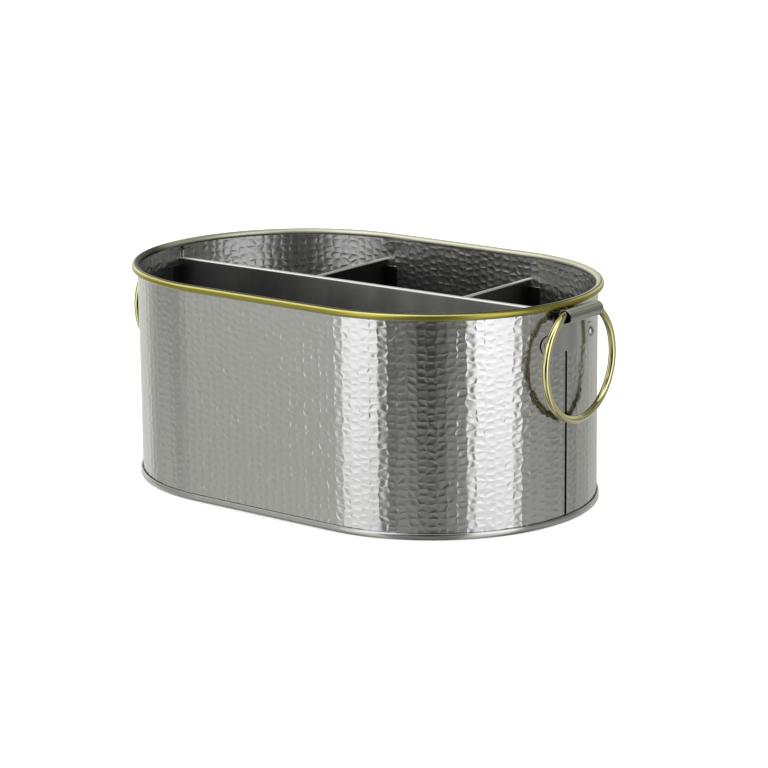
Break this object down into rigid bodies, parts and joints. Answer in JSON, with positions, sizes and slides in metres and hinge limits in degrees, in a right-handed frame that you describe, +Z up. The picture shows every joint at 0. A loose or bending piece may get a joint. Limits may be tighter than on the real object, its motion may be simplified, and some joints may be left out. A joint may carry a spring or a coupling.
{
  "type": "cutlery caddy",
  "caption": "Open sheet-metal table caddy with round ends, a dividing wall lengthways, cross walls in the back half and a hanging ring handle at each end.",
  "frame": {"origin": "centre of the caddy on the table, under the middle of the foot", "axes": "+X along the length to the end seen at the picture's right, +Y to the half with the cross dividers, +Z up"},
  "size_m": [0.3174, 0.2, 0.131],
  "materials": {
    "hammered_steel": "polished, hammered all over in small shallow dimples",
    "sheet_steel": "bright smooth sheet",
    "gilt_brass": "pale gold, satin polished"
  },
  "bodies": {
    "caddy": {"wall_front": "hammered_steel", "wall_back": "hammered_steel", "base_pan": "sheet_steel", "rim_bead": "gilt_brass", "divider_long": "sheet_steel", "divider_cross_left": "sheet_steel", "divider_cross_right": "sheet_steel", "bracket_right": "sheet_steel", "bracket_left": "sheet_steel", "bracket_rivets": "sheet_steel"},
    "ring_right": {"ring_right": "gilt_brass"},
    "ring_left": {"ring_left": "gilt_brass"}
  },
  "joints": [
    {"name": "ring_right_swing", "type": "hinge", "parent": "caddy", "child": "ring_right", "pos_m": [0.15435, 0.0044, 0.12257], "axis": [0, -1, 0], "range_deg": [-2, 194]},
    {"name": "ring_left_swing", "type": "hinge", "parent": "caddy", "child": "ring_left", "pos_m": [-0.15435, 0, 0.12257], "axis": [0, 1, 0], "range_deg": [-2, 194]}
  ]
}
